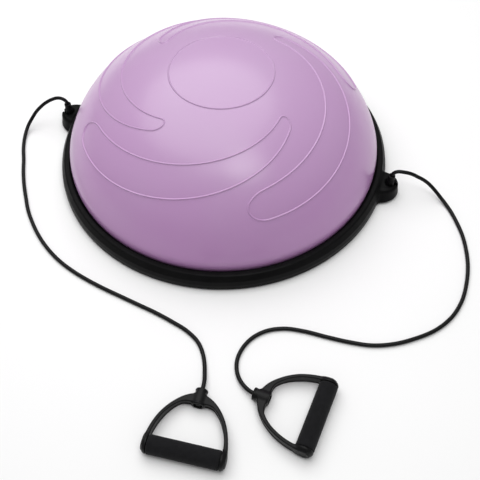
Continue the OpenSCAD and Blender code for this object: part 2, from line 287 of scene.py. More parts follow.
def make_materials():
    ink, soot = (0.0026, 0.0026, 0.0028), (0.0045, 0.0045, 0.0048)
    return {
        "dome_pvc": dome_pvc(),
        "base_plastic": moulded_black(
            "base_plastic_look", ink, (0.0042, 0.0042, 0.0044), 0.38, 0.48, 0.07, 0.00002),
        "foot_rubber": rubber(
            "foot_rubber_look", (0.03, 0.03, 0.031), (0.05, 0.05, 0.051), 0.6, 0.75),
        "screw_steel": steel(),
        "valve_rubber": pale_plastic("valve_rubber_look", (0.62, 0.62, 0.64)),
        "valve_plastic": pale_plastic("valve_plastic_look", (0.74, 0.74, 0.76)),
        "tube_rubber": rubber("tube_rubber_look", ink, soot, 0.3, 0.4),
        "stopper_rubber": rubber("stopper_rubber_look", ink, soot, 0.5, 0.62),
        "handle_plastic": moulded_black(
            "handle_plastic_look", ink, (0.0045, 0.0045, 0.0049), 0.34, 0.44, 0.16, 0.00003),
        "core_plastic": moulded_black(
            "core_plastic_look", (0.02, 0.02, 0.021), (0.028, 0.028, 0.03), 0.4, 0.5, 0.4, 0.00002),
        "cap_plastic": moulded_black(
            "cap_plastic_look", ink, soot, 0.38, 0.48, 0.14, 0.00002),
        "grip_foam": grip_foam(),
    }


LOOKS = make_materials()


# ---------- mesh helpers ----------

def add_piece(name, points, faces, slot, body, stands_for=(), normals=None):
    """Adds a smooth-shaded mesh, in the CAD's frame, that rides on a body, or on none if body is None.

    It has even shading unless its normals are given."""
    mesh = bpy.data.meshes.new(name)
    mesh.from_pydata([tuple(p) for p in points], [], [tuple(f) for f in faces])
    mesh.shade_smooth()
    if normals is not None:
        mesh.normals_split_custom_set_from_vertices([tuple(n) for n in normals])
    mesh.materials.append(LOOKS[slot])
    obj = bpy.data.objects.new(name, mesh)
    bpy.context.scene.collection.objects.link(obj)
    if body:
        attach(obj, body)
    if stands_for:
        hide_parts(*stands_for)
    if normals is None:
        even = obj.modifiers.new("even shading", "WEIGHTED_NORMAL")
        even.weight = 80
    return obj


def placed(matrix, points):
    """Points moved by a 4x4 matrix."""
    m = np.array(matrix)
    return np.asarray(points) @ m[:3, :3].T + m[:3, 3]


# The most of an outline's side that the rounding of one corner may take
ROUND_SHARE = 0.48


def rounded(corners, radius, steps=4):
    """An open outline with its inner corners rounded.

    A corner is (x, y), or (x, y, its own radius)."""
    out = [tuple(corners[0][:2])]
    for before, corner, after in zip(corners, corners[1:], corners[2:]):
        a, p, b = (np.array(c[:2], float) for c in (before, corner, after))
        r = corner[2] if len(corner) > 2 else radius
        gap_a, gap_b = np.linalg.norm(a - p), np.linalg.norm(b - p)
        to_a, to_b = (a - p) / gap_a, (b - p) / gap_b
        half = math.acos(np.clip(to_a @ to_b, -1, 1)) / 2
        back = min(r / math.tan(max(half, 1e-6)), ROUND_SHARE * gap_a, ROUND_SHARE * gap_b)
        for i in range(steps + 1):
            u = i / steps
            bend = (1 - u) ** 2 * (p + to_a * back) + 2 * u * (1 - u) * p + u ** 2 * (p + to_b * back)
            out.append(tuple(bend))
    return out + [tuple(corners[-1][:2])]


def lathe(profile, count=96, closed=False):
    """Points and faces of a profile of (radius, height) pairs turned about Z."""
    turn = np.arange(count) * 2 * math.pi / count
    points, rings = [], []
    for r, z in profile:
        start = len(points)
        if r < 1e-7:
            points.append((0, 0, z))
            rings.append([start] * count)
        else:
            points += [(r * math.cos(t), r * math.sin(t), z) for t in turn]
            rings.append(list(range(start, start + count)))
    faces = []
    pairs = list(zip(rings, rings[1:])) + ([(rings[-1], rings[0])] if closed else [])
    for low, high in pairs:
        for k in range(count):
            n = (k + 1) % count
            corners = [low[k], low[n], high[n], high[k]]
            face = [c for i, c in enumerate(corners) if c not in corners[:i]]
            if len(face) > 2:
                faces.append(face)
    return np.array(points), faces


def smooth_min(a, b, k):
    """The smaller of two distances, with a fillet about k wide where they meet."""
    h = np.clip(0.5 + 0.5 * (b - a) / k, 0, 1)
    return b + (a - b) * h - k * h * (1 - h)


def smooth_max(a, b, k):
    return -smooth_min(-a, -b, k)


def cut(shape, tool, k):
    return smooth_max(shape, -tool, k)


def gradient(field, points, step=2e-5):
    """The way that a field grows at each point, from its values a step ahead and a step behind."""
    out = np.empty_like(points)
    for axis in range(3):
        ahead, behind = points.copy(), points.copy()
        ahead[:, axis] += step
        behind[:, axis] -= step
        out[:, axis] = (field(ahead) - field(behind)) / (2 * step)
    return out


# How many times a net's points are drawn onto the true surface
NET_PULLS = 4


def surface_net(field, axes, place=lambda p: p, wrap=False):
    """Points, quads and normals where field is zero.

    The grid's three axes are put in space by place(), and wrap joins the first axis to its start."""
    shape = tuple(len(a) for a in axes)
    nodes = place(np.stack(np.meshgrid(*axes, indexing="ij"), -1).reshape(-1, 3))
    value = field(nodes).reshape(shape)
    nodes = nodes.reshape(shape + (3,))
    if wrap:
        nodes, value = np.concatenate([nodes, nodes[:1]]), np.concatenate([value, value[:1]])
    inside = value < 0
    cells = tuple(n - 1 for n in value.shape)
    total, count = np.zeros(cells + (3,)), np.zeros(cells)
    crossings = []
    for axis in range(3):
        low = [slice(None)] * 3
        high = [slice(None)] * 3
        low[axis], high[axis] = slice(None, -1), slice(1, None)
        low, high = tuple(low), tuple(high)
        crossed = inside[low] != inside[high]
        drop = np.where(crossed, value[low] - value[high], 1)
        share = np.where(crossed, value[low] / drop, 0)[..., None]
        at = (nodes[low] + share * (nodes[high] - nodes[low])) * crossed[..., None]
        u, v = (a for a in range(3) if a != axis)
        for du in (0, 1):
            for dv in (0, 1):
                part = [slice(None)] * 3
                part[u], part[v] = slice(du, du + cells[u]), slice(dv, dv + cells[v])
                total += at[tuple(part)]
                count += crossed[tuple(part)]
        crossings.append((u, v, crossed))
    used = count > 0
    index = np.full(cells, -1)
    index[used] = np.arange(used.sum())
    points = total[used] / count[used][:, None]
    quads = []
    for u, v, crossed in crossings:
        where = np.argwhere(crossed)
        keep = np.ones(len(where), bool)
        for side in (u, v):
            if wrap and side == 0:
                keep &= where[:, 0] < cells[0]
            else:
                keep &= (where[:, side] > 0) & (where[:, side] < cells[side])
        where = where[keep]
        ring = []
        for du, dv in ((-1, -1), (0, -1), (0, 0), (-1, 0)):
            cell = where.copy()
            cell[:, u] += du
            cell[:, v] += dv
            if wrap:
                cell[:, 0] %= cells[0]
            ring.append(index[tuple(cell.T)])
        quads.append(np.stack(ring, -1))
    quads = np.concatenate(quads)
    for _ in range(NET_PULLS):
        slope = gradient(field, points)
        steepness = np.maximum((slope ** 2).sum(-1), 1e-9)
        points = points - (field(points) / steepness)[:, None] * slope
    normals = gradient(field, points)
    normals /= np.linalg.norm(normals, axis=1)[:, None]
    corners = points[quads]
    facing = np.cross(corners[:, 2] - corners[:, 0], corners[:, 3] - corners[:, 1])
    backwards = (facing * normals[quads].sum(1)).sum(1) < 0
    quads[backwards] = quads[backwards][:, ::-1]
    return points, quads, normals


def slab(value, low, high):
    """Distance from the stretch between low and high, along one direction."""
    return np.maximum(low - value, value - high)


# ---------- stretch tubes ----------

TUBE_R = 0.0032
TUBE_LIE = 0.0033
TUBE_SIDES = 20
TUBE_STEP = 0.0025
# How far each stretch between two route points is cut up before it is made even
TUBE_FINE = 0.05
STEM_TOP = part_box("left_stopper")[1].z
SLEEVE_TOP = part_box("left_sleeve")[1].z
HUB_BORE = 0.0144

# Straight up out of the lug, and from there over and along the floor
HOOK_HEIGHTS = (STEM_TOP, 0.034, SLEEVE_TOP)
FLOOR_ROUTES = {
    "left": [
        (-0.2861, 0.0984, 0.0502), (-0.2894, 0.0993, 0.0544), (-0.2946, 0.1007, 0.0568),
        (-0.303, 0.103, 0.056), (-0.3145, 0.1028, 0.0523), (-0.326, 0.1016, 0.046),
        (-0.337, 0.0994, 0.0376), (-0.3473, 0.0958, 0.028), (-0.3555, 0.089, 0.019),
        (-0.3625, 0.0795, 0.0115), (-0.3665, 0.068, 0.006), (-0.368, 0.054, 0.0038),
        (-0.367, 0.03, TUBE_LIE),
        (-0.363, 0.002, TUBE_LIE), (-0.36, -0.026, TUBE_LIE), (-0.355, -0.056, TUBE_LIE),
        (-0.348, -0.086, TUBE_LIE), (-0.34, -0.116, TUBE_LIE), (-0.328, -0.146, TUBE_LIE),
        (-0.313, -0.175, TUBE_LIE), (-0.296, -0.2, TUBE_LIE), (-0.275, -0.224, TUBE_LIE),
        (-0.251, -0.245, TUBE_LIE), (-0.226, -0.263, TUBE_LIE), (-0.199, -0.28, TUBE_LIE),
        (-0.171, -0.296, TUBE_LIE), (-0.143, -0.312, TUBE_LIE), (-0.115, -0.328, TUBE_LIE),
        (-0.089, -0.345, TUBE_LIE), (-0.065, -0.363, TUBE_LIE), (-0.049, -0.382, TUBE_LIE),
        (-0.0415, -0.402, TUBE_LIE), (-0.039, -0.42, TUBE_LIE), (-0.0388, -0.434, 0.005),
        (-0.0392, -0.448, 0.0078), (-0.0405, -0.457, 0.009)],
    "right": [
        (0.2862, -0.0983, 0.0502), (0.2895, -0.0987, 0.0544), (0.2948, -0.0995, 0.0566),
        (0.3035, -0.1006, 0.056), (0.311, -0.1014, 0.0546), (0.3195, -0.1022, 0.0512),
        (0.329, -0.1027, 0.045), (0.3395, -0.1035, 0.038), (0.349, -0.105, 0.03),
        (0.3575, -0.1083, 0.022), (0.365, -0.1135, 0.015), (0.372, -0.1205, 0.009),
        (0.379, -0.131, 0.005), (0.385, -0.146, 0.0036),
        (0.391, -0.171, TUBE_LIE), (0.395, -0.199, TUBE_LIE), (0.395, -0.229, TUBE_LIE),
        (0.391, -0.261, TUBE_LIE), (0.382, -0.293, TUBE_LIE), (0.368, -0.325, TUBE_LIE),
        (0.346, -0.354, TUBE_LIE), (0.316, -0.376, TUBE_LIE), (0.283, -0.389, TUBE_LIE),
        (0.249, -0.397, TUBE_LIE), (0.215, -0.398, TUBE_LIE), (0.181, -0.391, TUBE_LIE),
        (0.148, -0.381, TUBE_LIE), (0.115, -0.37, TUBE_LIE), (0.084, -0.364, TUBE_LIE),
        (0.057, -0.367, TUBE_LIE), (0.035, -0.378, TUBE_LIE), (0.019, -0.395, TUBE_LIE),
        (0.01, -0.415, TUBE_LIE), (0.009, -0.434, 0.0042), (0.0126, -0.4484, 0.0062),
        (0.0186, -0.4596, 0.008), (0.025, -0.4672, 0.0091)],
}


def tube_points(side):
    """The points of one tube's whole route, from the stopper in the lug to the stop in the hub."""
    hook = [turned_about_z((HOOK_R, 0, z), LUG_TURN[side]) for z in HOOK_HEIGHTS]
    matrix = handle_matrix(side)
    ends = [matrix @ Vector((s, 0, 0)) for s in (0, HUB_BORE)]
    return np.array([tuple(p) for p in [*hook, *FLOOR_ROUTES[side], *ends]])


def smooth_path(points, step):
    """A smooth curve through the points, with even steps along it."""
    chord = np.linalg.norm(np.diff(points, axis=0), axis=1)
    slope = np.diff(points, axis=0) / chord[:, None]
    before, after = chord[:-1, None], chord[1:, None]
    inner = (slope[:-1] * after + slope[1:] * before) / (before + after)
    tangent = np.concatenate([slope[:1], inner, slope[-1:]])
    fine = []
    for i, length in enumerate(chord):
        leave, arrive = length * tangent[i], length * tangent[i + 1]
        for u in np.arange(0, 1, TUBE_FINE):
            fine.append((2 * u ** 3 - 3 * u ** 2 + 1) * points[i] + (u ** 3 - 2 * u ** 2 + u) * leave
                        + (3 * u ** 2 - 2 * u ** 3) * points[i + 1] + (u ** 3 - u ** 2) * arrive)
    fine = np.array(fine + [points[-1]])
    fine[:, 2] = np.maximum(fine[:, 2], TUBE_LIE)
    along = np.concatenate([[0], np.cumsum(np.linalg.norm(np.diff(fine, axis=0), axis=1))])
    even = np.linspace(0, along[-1], max(2, round(along[-1] / step)))
    return np.stack([np.interp(even, along, fine[:, k]) for k in range(3)], -1), along[-1]


def tube_mesh(path, radius, sides):
    """A round tube along a path, its rings carried along without twist."""
    way = np.gradient(path, axis=0)
    way /= np.linalg.norm(way, axis=1)[:, None]
    across = np.cross(way[0], (0, 1, 0.3))
    turn = np.arange(sides)[:, None] * 2 * math.pi / sides
    rings = []
    for point, along in zip(path, way):
        across = across - (across @ along) * along
        across = across / np.linalg.norm(across)
        up = np.cross(along, across)
        rings.append(point + radius * (np.cos(turn) * across + np.sin(turn) * up))
    last = (len(path) - 1) * sides
    faces = []
    for ring in range(0, last, sides):
        for k in range(sides):
            n = (k + 1) % sides
            faces.append((ring + k, ring + n, ring + sides + n, ring + sides + k))
    faces += [tuple(range(sides))[::-1], tuple(range(last, last + sides))]
    return np.concatenate(rings), faces


def make_tube(side, with_pieces):
    path, length = smooth_path(tube_points(side), TUBE_STEP)
    points, faces = tube_mesh(path, TUBE_R, TUBE_SIDES)
    tube = add_piece(side + "_stretch_tube", points, faces, "tube_rubber", None)
    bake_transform(tube)
    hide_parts(side + "_tube", side + "_tube_end")


def make_sleeve(side):
    """Tapered sleeve with a rolled lip and three grip ribs."""
    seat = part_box(side + "_sleeve")[0].z
    wall = [(TUBE_R + 0.0001, seat), (0.0064, seat), (0.0064, 0.0305)]
    for rib in (0.0318, 0.0343, 0.0368):
        wall += [(0.0061, rib), (0.0056, rib + 0.0007), (0.0061, rib + 0.0016)]
    wall += [(0.0060, 0.0402), (0.0059, SLEEVE_TOP - 0.0002, 0.0022), (0.0044, SLEEVE_TOP),
             (TUBE_R + 0.0001, SLEEVE_TOP - 0.0008)]
    points, faces = lathe(rounded(wall, 0.0006), 48)
    points = placed(lug_matrix(side), points)
    return add_piece(side + "_strain_sleeve", points, faces, "stopper_rubber", "base",
                     [side + "_sleeve"])


def make_stopper(side):
    """Bulb on a stem, in the pocket under the lug."""
    low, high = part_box(side + "_stopper")
    outline = [(0, low.z), (0.006, low.z, 0.0015), (0.0075, low.z + 0.002), (0.0075, 0.013, 0.002),
               (0.0045, 0.0167), (TUBE_R - 0.0001, 0.0167), (TUBE_R - 0.0001, high.z), (0, high.z)]
    points, faces = lathe(rounded(outline, 0.0006), 48)
    points = placed(lug_matrix(side), points)
    return add_piece(side + "_tube_stopper", points, faces, "stopper_rubber", "base",
                     [side + "_stopper"])


def make_end_plug(side):
    """Rounded stop on the tube's end, seen where it fills the hub's pocket."""
    outline = [(0, 0), (0.005, 0), (0.0062, 0.0012), (0.0062, 0.0065, 0.003),
               (0.005, 0.0092, 0.002), (0, 0.0106)]
    points, faces = lathe(rounded(outline, 0.0008, 5), 48)
    stand = Matrix.Translation((HUB_BORE, 0, 0)) @ Matrix.Rotation(math.pi / 2, 4, "Y")
    points = placed(handle_matrix(side) @ stand, points)
    return add_piece(side + "_tube_end_stop", points, faces, "stopper_rubber", side + "_tip",
                     [side + "_end_plug"])


# ---------- dome ----------

# The dome is half of an oval: its half width and half height, and the height of its middle
DOME_A = RING_R - 0.0144
DOME_ZC = 0.0086
DOME_B = DOME_TOP - DOME_ZC
SHOULDER_Z = 0.050
SHOULDER_R = DOME_A * math.sqrt(1 - ((SHOULDER_Z - DOME_ZC) / DOME_B) ** 2)
WALL_FOOT_Z = DECK_TOP + 0.004
WALL_STEPS = 24
# The raised outlines: a bead's half width and height, and where its rows of points lie
BEAD_HALF = 0.0018
BEAD_HEIGHT = 0.0017
BEAD_OFFSETS = (-1, -0.7, -0.35, 0, 0.35, 0.7, 1)
CENTRE_BEAD_R = 0.0853
CENTRE_BEAD_STEPS = 400
# The swirl bands: where each starts, how far round it runs, and the share of it that each rounded
# end takes
BAND_STARTS = [math.radians(-171.4 + 90 * k) for k in range(4)]
BAND_SWEEP = math.radians(128.6)
WIDE_CAP = 0.058
NARROW_CAP = 0.032
# Spacing of the skin's points, away from the beads and along them, and how clear of them it stays
DOME_GRID = 0.0065
OUTLINE_STEP = 0.003
BEAD_CLEARANCE = 0.003
ARC_STEPS = 2000
SHOULDER_STEPS = 300


def band_edges(s):
    """Inner and outer radius of a swirl band, s from 0 at its wide end to 1 at its narrow end."""
    inner = 0.2127 - 0.071 * s - 0.012 * s ** 2 - 0.003 * s ** 3
    outer = 0.241 - 0.0025 * s - 0.0925 * s ** 2
    return inner, outer


def band_outline(start):
    """(radius, azimuth) all round one swirl band: out along its outer edge, back along its inner one."""
    along = np.linspace(WIDE_CAP, 1 - NARROW_CAP, 160)
    cap = np.linspace(-math.pi / 2, math.pi / 2, 24)[1:-1]
    narrow = 1 - NARROW_CAP * (1 - np.cos(cap))
    wide = WIDE_CAP * (1 - np.cos(cap))
    s = np.concatenate([along, narrow, along[::-1], wide])
    v = np.concatenate([np.ones_like(along), -np.sin(cap), -np.ones_like(along), np.sin(cap)])
    inner, outer = band_edges(s)
    return (inner + outer) / 2 + v * (outer - inner) / 2, start + BAND_SWEEP * s


def in_band(points):
    """1 for each point inside a swirl band, and 0 for the others."""
    r, azimuth = np.hypot(points[:, 0], points[:, 1]), np.arctan2(points[:, 1], points[:, 0])
    found = np.zeros(len(points))
    for start in BAND_STARTS:
        s = (azimuth - start) % (2 * math.pi) / BAND_SWEEP
        inner, outer = band_edges(s)
        across = np.abs(2 * r - inner - outer) / (outer - inner)
        from_end = np.clip(np.minimum(s / WIDE_CAP, (1 - s) / NARROW_CAP), 0, 1)
        found[across < np.sqrt(1 - (1 - from_end) ** 2)] = 1
    return found


def dome_point(r, azimuth):
    z = DOME_ZC + DOME_B * np.sqrt(np.maximum(1 - (r / DOME_A) ** 2, 0))
    return np.stack([r * np.cos(azimuth), r * np.sin(azimuth), z], -1)


def dome_normal(p):
    x, y, z = p.T
    n = np.stack([x / DOME_A ** 2, y / DOME_A ** 2, (z - DOME_ZC) / DOME_B ** 2], -1)
    return n / np.linalg.norm(n, axis=-1)[:, None]


def resampled_loop(points, step):
    """A closed loop of points, a step apart."""
    closed = np.concatenate([points, points[:1]])
    along = np.concatenate([[0], np.cumsum(np.linalg.norm(np.diff(closed, axis=0), axis=1))])
    count = round(along[-1] / step)
    even = np.arange(count) * along[-1] / count
    return np.stack([np.interp(even, along, closed[:, k]) for k in range(3)], -1)


def unrolled(r, azimuth, arc_r, arc_length):
    """Where a point of the dome lies when its skin is laid flat, each meridian at its true length."""
    reach = np.interp(r, arc_r, arc_length)
    return np.stack([reach * np.cos(azimuth), reach * np.sin(azimuth)], -1)


def bead_rows(outline):
    """The rows of one closed outline's bead: radii, azimuths, points and normals of each."""
    middle_line = resampled_loop(outline, OUTLINE_STEP)
    along = np.roll(middle_line, -1, 0) - np.roll(middle_line, 1, 0)
    along /= np.linalg.norm(along, axis=1)[:, None]
    normal = dome_normal(middle_line)
    across = np.cross(normal, along)
    rows = []
    for share in BEAD_OFFSETS:
        moved = middle_line + across * share * BEAD_HALF
        r, azimuth = np.hypot(moved[:, 0], moved[:, 1]), np.arctan2(moved[:, 1], moved[:, 0])
        height = BEAD_HEIGHT * (1 + math.cos(math.pi * share)) / 2
        slope = -BEAD_HEIGHT * math.pi / BEAD_HALF * math.sin(math.pi * share) / 2
        base = dome_point(r, azimuth)
        on_dome = dome_normal(base)
        tilted = on_dome - slope * across
        tilted /= np.linalg.norm(tilted, axis=1)[:, None]
        rows.append((r, azimuth, base + height * on_dome, tilted))
    return rows


def wall_profile():
    """(radius, height) and outward normal of the skin below the shoulder, down into the ring."""
    knots = np.array([(SHOULDER_R, SHOULDER_Z), (0.27085, 0.0425), (0.2711, 0.037),
                      (0.27075, 0.0305), (0.2697, 0.024), (0.2684, WALL_FOOT_Z)])
    heights = np.linspace(SHOULDER_Z, WALL_FOOT_Z, WALL_STEPS)
    fit = np.polyfit(knots[:, 1] * 100, knots[:, 0] * 100, 4)
    r = np.polyval(fit, heights * 100) / 100
    slope = np.polyval(np.polyder(fit), heights * 100)
    r += (SHOULDER_R - r[0]) * np.clip((heights - 0.03) / 0.02, 0, 1)
    normal = np.stack([np.ones_like(slope), -slope], -1)
    return np.stack([r, heights], -1), normal / np.linalg.norm(normal, axis=1)[:, None]


def dome_meridian():
    """Matching radii and lengths along the dome, from its top outwards."""
    angle = np.linspace(0, math.pi / 2, ARC_STEPS)
    arc_r = DOME_A * np.sin(angle)
    steps = np.hypot(np.diff(arc_r), np.diff(DOME_B * np.cos(angle)))
    return arc_r, np.concatenate([[0], np.cumsum(steps)])


def dome_beads(arc_r, arc_length):
    """The raised outlines: their points laid flat, on the dome, their normals, and their edges."""
    circle = np.linspace(0, 2 * math.pi, CENTRE_BEAD_STEPS, endpoint=False)
    outlines = [dome_point(np.full(CENTRE_BEAD_STEPS, CENTRE_BEAD_R), circle)]
    outlines += [dome_point(*band_outline(start)) for start in BAND_STARTS]
    flat, points, normals, edges = [], [], [], []
    for outline in outlines:
        for r, azimuth, place, normal in bead_rows(outline):
            start, n = sum(len(f) for f in flat), len(r)
            flat.append(unrolled(r, azimuth, arc_r, arc_length))
            points.append(place)
            normals.append(normal)
            edges += [(start + i, start + (i + 1) % n) for i in range(n)]
    return flat, points, normals, edges


def dome_cap():
    """Points, faces and normals above the shoulder: a net of triangles, fine along the beads."""
    arc_r, arc_length = dome_meridian()
    flat, points, normals, edges = dome_beads(arc_r, arc_length)
    beads = np.concatenate(flat)
    reach = np.interp(SHOULDER_R, arc_r, arc_length)
    rings = round(reach / DOME_GRID)
    for k in range(rings + 1):
        r = np.interp(reach * k / rings, arc_length, arc_r)
        n = SHOULDER_STEPS if k == rings else max(1, round(2 * math.pi * r / DOME_GRID))
        azimuth = (np.arange(n) + 0.5 * (k % 2 and k < rings)) * 2 * math.pi / n
        spots = unrolled(np.full(n, r), azimuth, arc_r, arc_length)
        if k < rings:
            clear = np.array([((beads - s) ** 2).sum(1).min() > BEAD_CLEARANCE ** 2 for s in spots])
            spots, azimuth = spots[clear], azimuth[clear]
        place = dome_point(np.full(len(azimuth), r), azimuth)
        flat.append(spots)
        points.append(place)
        normals.append(dome_normal(place))
    flat, points, normals = (np.concatenate(x) for x in (flat, points, normals))
    made = delaunay_2d_cdt([Vector(f) for f in flat], edges, [], 0, 1e-9, True)
    source = [ids[0] for ids in made[3]]
    return points, [tuple(source[i] for i in f) for f in made[2]], normals


def make_dome():
    """The inflated skin: the cap, and below it a wall that is closed at its foot."""
    points, faces, normals = dome_cap()
    profile, profile_normal = wall_profile()
    azimuth = np.arange(SHOULDER_STEPS) * 2 * math.pi / SHOULDER_STEPS
    above = list(range(len(points) - SHOULDER_STEPS, len(points)))
    extra, extra_normals = [], []
    for (r, z), (nr, nz) in zip(profile[1:], profile_normal[1:]):
        start = len(points) + len(extra)
        extra += [(r * math.cos(t), r * math.sin(t), z) for t in azimuth]
        extra_normals += [(nr * math.cos(t), nr * math.sin(t), nz) for t in azimuth]
        below = list(range(start, start + SHOULDER_STEPS))
        for k in range(SHOULDER_STEPS):
            n = (k + 1) % SHOULDER_STEPS
            faces.append((above[k], below[k], below[n], above[n]))
        above = below
    faces.append(tuple(above)[::-1])
    points = np.concatenate([points, extra])
    normals = np.concatenate([normals, extra_normals])
    skin = add_piece("dome_skin", points, faces, "dome_pvc", "base", ["dome_bladder"], normals)
    gloss = skin.data.attributes.new(BAND_GLOSS, "FLOAT", "POINT")
    gloss.data.foreach_set("value", in_band(points))


# ---------- rim ring with its two lugs ----------

EAR_Z = ring_low.z + 0.0005
EAR_TOP = RING_TOP - 0.003
# The two cones that a lug is made of: distance out from the middle, and radius at the foot
LUG_CONES = ((RING_R - 0.007, 0.034), (RING_R + 0.003, 0.024))
EAR_TOP_R = 0.022
LUG_REACH = max(out + foot for out, foot in LUG_CONES)
RING_UNDER = DECK_TOP + 0.0043
RING_CELL = 0.00075
EDGE_ROUND = 0.0009
# The tube's way through a lug: the sleeve's seat, the keyhole, and the stopper's pocket
SEAT_R = 0.0066
SEAT_Z = EAR_TOP - 0.005
DISH_FLARE = 0.85
KEYHOLE_R = 0.0036
POCKET_R = 0.0083
POCKET_TOP = 0.017


def ring_section():
    """The ring's section, as (radius, height) corners, counter-clockwise from its foot."""
    inner = deck_high.x + 0.0003
    return np.array([
        (inner, ring_low.z), (RING_R, ring_low.z), (RING_R, 0.013), (RING_R - 0.0016, 0.021),
        (RING_R - 0.0068, 0.030), (RING_R - 0.009, 0.031), (RING_R - 0.015, 0.031),
        (RING_R - 0.0184, 0.0286), (RING_R - 0.0184, 0.025), (RING_R - 0.0196, 0.018),
        (RING_R - 0.0196, RING_UNDER), (inner, RING_UNDER)])


def inset(corners, by):
    """A counter-clockwise outline moved inwards by a distance, corner by corner."""
    ahead = np.roll(corners, -1, 0) - corners
    inward = np.stack([-ahead[:, 1], ahead[:, 0]], -1) / np.linalg.norm(ahead, axis=1)[:, None]
    out = []
    for i, corner in enumerate(corners):
        system = np.array([inward[i - 1], inward[i]])
        if abs(np.linalg.det(system)) < 1e-6:
            out.append(corner + inward[i] * by)
        else:
            out.append(np.linalg.solve(system, [system[0] @ corner + by, system[1] @ corner + by]))
    return np.array(out)


def outline_distance(p, corners):
    """Signed distance from a closed outline in a plane, negative inside."""
    best, crossings = np.full(len(p), 1e9), np.zeros(len(p), bool)
    for a, b in zip(corners, np.roll(corners, -1, 0)):
        edge = b - a
        share = np.clip(((p - a) @ edge) / (edge @ edge), 0, 1)
        best = np.minimum(best, np.linalg.norm(p - a - share[:, None] * edge, axis=1))
        level = (a[1] > p[:, 1]) != (b[1] > p[:, 1])
        rise = b[1] - a[1] if b[1] != a[1] else 1
        crossings ^= level & (p[:, 0] < a[0] + edge[0] * (p[:, 1] - a[1]) / rise)
    return np.where(crossings, -best, best)


RING_CORE = inset(ring_section(), EDGE_ROUND)


def lug_field(x, y, z):
    """One lug, in its own turned frame: x outwards through the hook."""
    cones = []
    for out, foot in LUG_CONES:
        taper = (foot - EAR_TOP_R) / (EAR_TOP - EAR_Z)
        cones.append((np.hypot(x - out, y) - foot + taper * (z - EAR_Z)) / math.hypot(1, taper))
    ear = smooth_min(*cones, 0.006)
    ear = smooth_max(ear, z - EAR_TOP, 0.007)
    ear = smooth_max(ear, EAR_Z - z, 0.004)
    r = np.hypot(x, y)
    inside = np.where(z < RING_UNDER + 0.001, RING_R - 0.003, RING_R - 0.011) - r
    return np.maximum(ear, inside)


def hook_field(x, y, z):
    """What is cut from a lug: the dished seat, the keyhole and the pocket underneath."""
    spread = np.hypot(x - HOOK_R, y)
    seat = np.maximum(spread - SEAT_R, SEAT_Z - z)
    dish = (spread - SEAT_R - DISH_FLARE * (z - EAR_TOP + 0.004)) / math.hypot(1, DISH_FLARE)
    dish = np.maximum(dish, SEAT_Z - z)
    pocket = np.maximum(spread - POCKET_R, z - POCKET_TOP)
    bore = spread - KEYHOLE_R
    slot = np.maximum(np.maximum(np.abs(y) - KEYHOLE_R, HOOK_R - x), POCKET_TOP - 0.003 - z)
    return np.minimum(np.minimum(np.minimum(seat, dish), pocket), np.minimum(bore, slot))


def ring_field(p):
    """Distance from the rim ring with both lugs."""
    z = p[:, 2]
    shape = outline_distance(np.stack([np.hypot(p[:, 0], p[:, 1]), z], -1), RING_CORE) - EDGE_ROUND
    for side in SIDES:
        c, s = math.cos(LUG_TURN[side]), math.sin(LUG_TURN[side])
        x, y = p[:, 0] * c + p[:, 1] * s, p[:, 1] * c - p[:, 0] * s
        near = x > 0.2
        shape = np.where(near, smooth_min(shape, lug_field(x, y, z), 0.005), shape)
        shape = np.where(near, cut(shape, hook_field(x, y, z), 0.0012), shape)
    return shape


def ring_azimuths():
    """Walk round the ring: fine steps across each lug and long ones between them."""
    fine, coarse, reach = 90, math.radians(2.4), math.radians(9)
    turns = sorted(LUG_TURN[s] % (2 * math.pi) for s in SIDES)
    out = []
    for here, there in zip(turns, [turns[1], turns[0] + 2 * math.pi]):
        out.append(np.linspace(here - reach, here + reach, fine, endpoint=False))
        gap = there - here - 2 * reach
        out.append(np.linspace(here + reach, there - reach, round(gap / coarse), endpoint=False))
    return np.concatenate(out)


def from_polar(p):
    """Points given as (azimuth, radius, height), in the CAD's frame."""
    azimuth, r, z = p.T
    return np.stack([r * np.cos(azimuth), r * np.sin(azimuth), z], -1)


def make_ring():
    radii = np.arange(RING_R - 0.0215, LUG_REACH + 0.002, RING_CELL)
    heights = np.arange(ring_low.z - 0.0013, RING_TOP + 0.002, RING_CELL)
    axes = (ring_azimuths(), radii, heights)
    points, faces, normals = surface_net(ring_field, axes, from_polar, wrap=True)
    add_piece("clamp_ring", points, faces, "base_plastic", "base", ["rim_ring"], normals)


# ---------- platform underside ----------

def dressed(node, slot, width=0.0004):
    """A CAD node kept as it is, with its finish and softened edges."""
    obj = frame["nodes"][node]
    obj.data.materials.clear()
    obj.data.materials.append(LOOKS[slot])
    flat = obj.modifiers.new("flat faces", "DECIMATE")
    flat.decimate_type = "DISSOLVE"
    flat.angle_limit = math.radians(1)
    edge = obj.modifiers.new("soft edges", "BEVEL")
    edge.width = width
    edge.segments = 2
    edge.limit_method = "ANGLE"
    edge.angle_limit = math.radians(40)
    edge.harden_normals = True


# A foot's top, a little inside the deck, its underside, and the ridges in it
FOOT_TOP = 0.0042
FOOT_UNDER = 0.0001
RIDGE_DEEP = 0.0008
RIDGE_STEP = 0.0032


def make_foot(node, radius):
    """Rubber pad with concentric grip ridges underneath."""
    where = middle(node)
    outline = [(0, FOOT_TOP), (radius - 0.0004, FOOT_TOP), (radius - 0.0004, 0.0012, 0.0008),
               (radius - 0.0014, FOOT_UNDER, 0.0008)]
    r = radius - 0.003
    while r > 0.003:
        outline += [(r, FOOT_UNDER), (r - 0.0004, RIDGE_DEEP), (r - 0.0012, RIDGE_DEEP),
                    (r - 0.0016, FOOT_UNDER)]
        r -= RIDGE_STEP
    outline += [(0, FOOT_UNDER)]
    points, faces = lathe(rounded(outline[::-1], 0.0002, 2), 72)
    points += (where.x, where.y, 0)
    add_piece(node + "_pad", points, faces, "foot_rubber", "base", [node])


